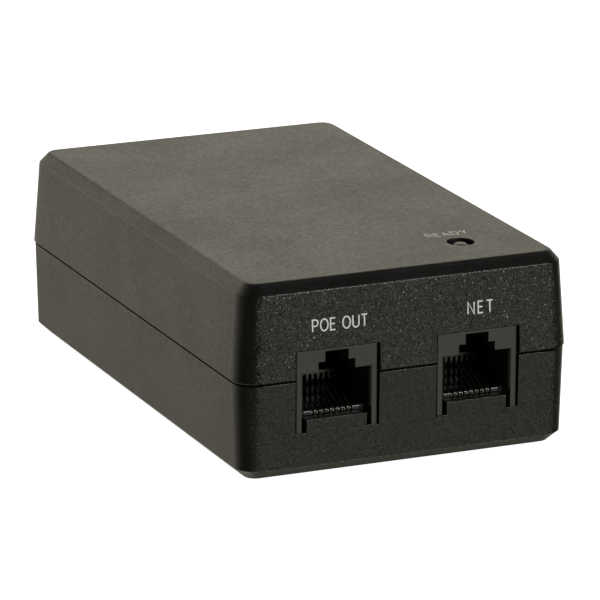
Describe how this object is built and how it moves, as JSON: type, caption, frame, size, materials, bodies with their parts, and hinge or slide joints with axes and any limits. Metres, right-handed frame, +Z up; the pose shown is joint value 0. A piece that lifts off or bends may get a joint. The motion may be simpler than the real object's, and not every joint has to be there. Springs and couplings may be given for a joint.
{
  "type": "poe injector",
  "caption": "Desktop power-over-Ethernet injector: rounded box case in halves, modular jacks at one end, mains inlet at the other, lamp on top and a supply board inside.",
  "frame": {"origin": "middle of the footprint, on the plane of the feet", "axes": "+Z up, -Y out of the face with the jacks, +Y out of the mains inlet, +X to the right seen from the jacks"},
  "size_m": [0.0626, 0.1024, 0.0354],
  "materials": {
    "case_plastic": "fine spark-eroded satin",
    "jack_plastic": "smooth semi-matt",
    "insert_plastic": "smooth semi-gloss",
    "contact_gold": "gold plated, polished",
    "tinned_wire": "tinned, satin",
    "lamp_lens": "clear moulded lens, unlit",
    "sleeve_plastic": "shrunk tubing",
    "inlet_plastic": "moulded, semi-matt",
    "blade_metal": "nickel plated",
    "foot_rubber": "matt",
    "label_paper": "blank printed-grey film",
    "sheet_film": "thin translucent film",
    "board_laminate": "glass-fibre board with solder resist",
    "screw_steel": "zinc plated",
    "fuse_plastic": "moulded",
    "varistor_resin": "dipped resin",
    "film_capacitor": "moulded box",
    "ferrite": "sintered ferrite",
    "copper_wire": "enamelled copper winding",
    "semiconductor_black": "moulded epoxy",
    "capacitor_sleeve": "shrunk sleeve",
    "heat_sink_metal": "rolled, satin",
    "bobbin_plastic": "moulded",
    "winding_tape": "polyester tape",
    "ceramic_disc": "dipped ceramic disc",
    "opto_white": "moulded epoxy"
  },
  "bodies": {
    "base": {"bottom_cover": "case_plastic", "rubber_feet": "foot_rubber", "rating_label": "label_paper", "insulation_sheet": "sheet_film", "main_board": "board_laminate", "board_screws": "screw_steel", "poe_jack_housing": "jack_plastic", "lan_jack_housing": "jack_plastic", "poe_jack_insert": "insert_plastic", "lan_jack_insert": "insert_plastic", "poe_contact_tails": "contact_gold", "lan_contact_tails": "contact_gold", "power_led": "lamp_lens", "led_leads": "tinned_wire", "led_sleeves": "sleeve_plastic", "mains_inlet_body": "inlet_plastic", "inlet_pins": "blade_metal", "fuse": "fuse_plastic", "varistor": "varistor_resin", "x_capacitor": "film_capacitor", "choke_core": "ferrite", "choke_windings": "copper_wire", "bridge_rectifier": "semiconductor_black", "bulk_capacitor": "capacitor_sleeve", "primary_heat_sink": "heat_sink_metal", "switching_transistor": "semiconductor_black", "secondary_heat_sink": "heat_sink_metal", "output_rectifier": "semiconductor_black", "heat_sink_screws": "screw_steel", "transformer_core": "ferrite", "transformer_bobbin": "bobbin_plastic", "transformer_winding": "winding_tape", "transformer_pins": "tinned_wire", "y_capacitor": "ceramic_disc", "optocoupler": "opto_white", "output_capacitors": "capacitor_sleeve", "output_choke": "ferrite", "poe_magnetics": "semiconductor_black", "lan_magnetics": "semiconductor_black", "poe_controller": "semiconductor_black"},
    "cover": {"top_cover": "case_plastic"},
    "poe_contacts": {"poe_contact_springs": "contact_gold"},
    "lan_contacts": {"lan_contact_springs": "contact_gold"}
  },
  "joints": [
    {"name": "cover_lift", "type": "slide", "parent": "base", "child": "cover", "axis": [0, 0, 1], "range_m": [0, 0.05]},
    {"name": "poe_contact_flex", "type": "hinge", "parent": "base", "child": "poe_contacts", "pos_m": [-0.0132, -0.0475, 0.01105], "axis": [-1, 0, 0], "range_deg": [0, 12], "stiffness_Nm_per_rad": 0.1},
    {"name": "lan_contact_flex", "type": "hinge", "parent": "base", "child": "lan_contacts", "pos_m": [0.0132, -0.0475, 0.01105], "axis": [-1, 0, 0], "range_deg": [0, 12], "stiffness_Nm_per_rad": 0.1}
  ]
}
